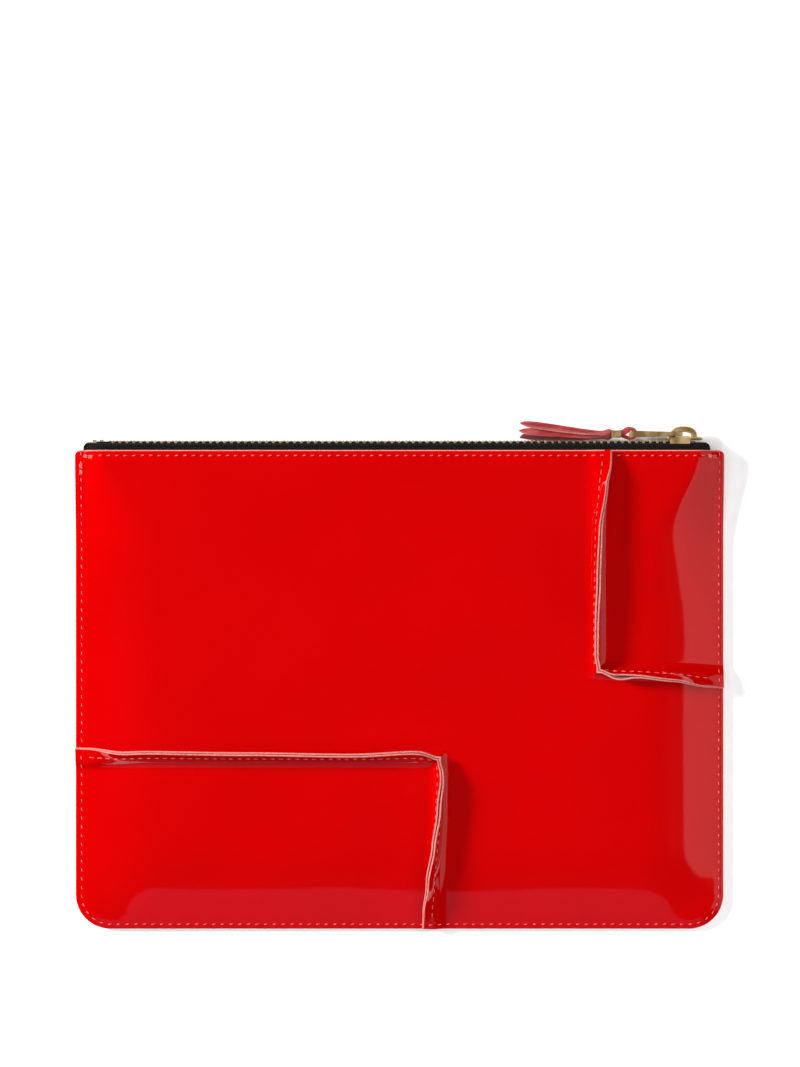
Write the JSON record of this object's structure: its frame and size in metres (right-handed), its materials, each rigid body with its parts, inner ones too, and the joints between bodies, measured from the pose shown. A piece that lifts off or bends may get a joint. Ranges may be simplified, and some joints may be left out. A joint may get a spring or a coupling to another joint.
{
  "type": "flat zip pouch",
  "caption": "Flat rectangular leather pouch with raised L-shaped seams on its front, a straight metal zip along the top, and a link and leather tassel as its pull.",
  "frame": {"origin": "centre of the back panel's outer face, on the surface that the pouch lies on", "axes": "+X to the pouch's right, towards the closed slider; +Y towards the zip; +Z out of the front wall"},
  "size_m": [0.205, 0.1605, 0.0138],
  "materials": {
    "red_leather": "glossy patent",
    "lining": "matt woven",
    "zip_tape": "matt woven",
    "brass": "polished, lightly worn",
    "thread": "waxed thread",
    "tassel_leather": "semi-gloss"
  },
  "bodies": {
    "back_wall": {"back_panel": "red_leather", "back_lining": "lining", "zip_tape_back": "zip_tape", "zip_teeth_back": "brass", "zip_bottom_stop": "brass", "zip_top_stop_back": "brass", "perimeter_thread_back": "thread", "mouth_thread_back": "thread"},
    "front_wall": {"front_main_panel": "red_leather", "lower_left_panel": "red_leather", "upper_right_panel": "red_leather", "front_lining": "lining", "zip_tape_front": "zip_tape", "zip_teeth_front": "brass", "zip_top_stop_front": "brass", "perimeter_thread_front": "thread", "mouth_thread_front": "thread", "lower_left_seam_thread": "thread", "upper_right_seam_thread": "thread"},
    "slider": {"slider_top_plate": "brass", "slider_bottom_plate": "brass", "slider_crown": "brass"},
    "pull": {"pull_link": "brass"},
    "tassel": {"tassel_loop": "tassel_leather", "tassel_ferrule": "brass", "tassel_strand_1": "tassel_leather", "tassel_strand_2": "tassel_leather", "tassel_strand_3": "tassel_leather"}
  },
  "joints": [
    {"name": "zip_slide", "type": "slide", "parent": "back_wall", "child": "slider", "axis": [-1, 0, 0], "range_m": [0, 0.177]},
    {"name": "mouth_open", "type": "hinge", "parent": "back_wall", "child": "front_wall", "pos_m": [0, -0.0757, 0.00135], "axis": [1, 0, 0], "range_deg": [0, 6.3]},
    {"name": "link_swing", "type": "hinge", "parent": "slider", "child": "pull", "pos_m": [0.08895, 0.0808, 0.0045], "axis": [0, 0, -1], "range_deg": [0, 150]},
    {"name": "tassel_swing", "type": "hinge", "parent": "pull", "child": "tassel", "pos_m": [0.07295, 0.0808, 0.0045], "axis": [0, 0, -1], "range_deg": [0, 30]}
  ],
  "couplings": [
    {"joint": "mouth_open", "follows": "zip_slide", "rad_per_m": 0.611}
  ]
}
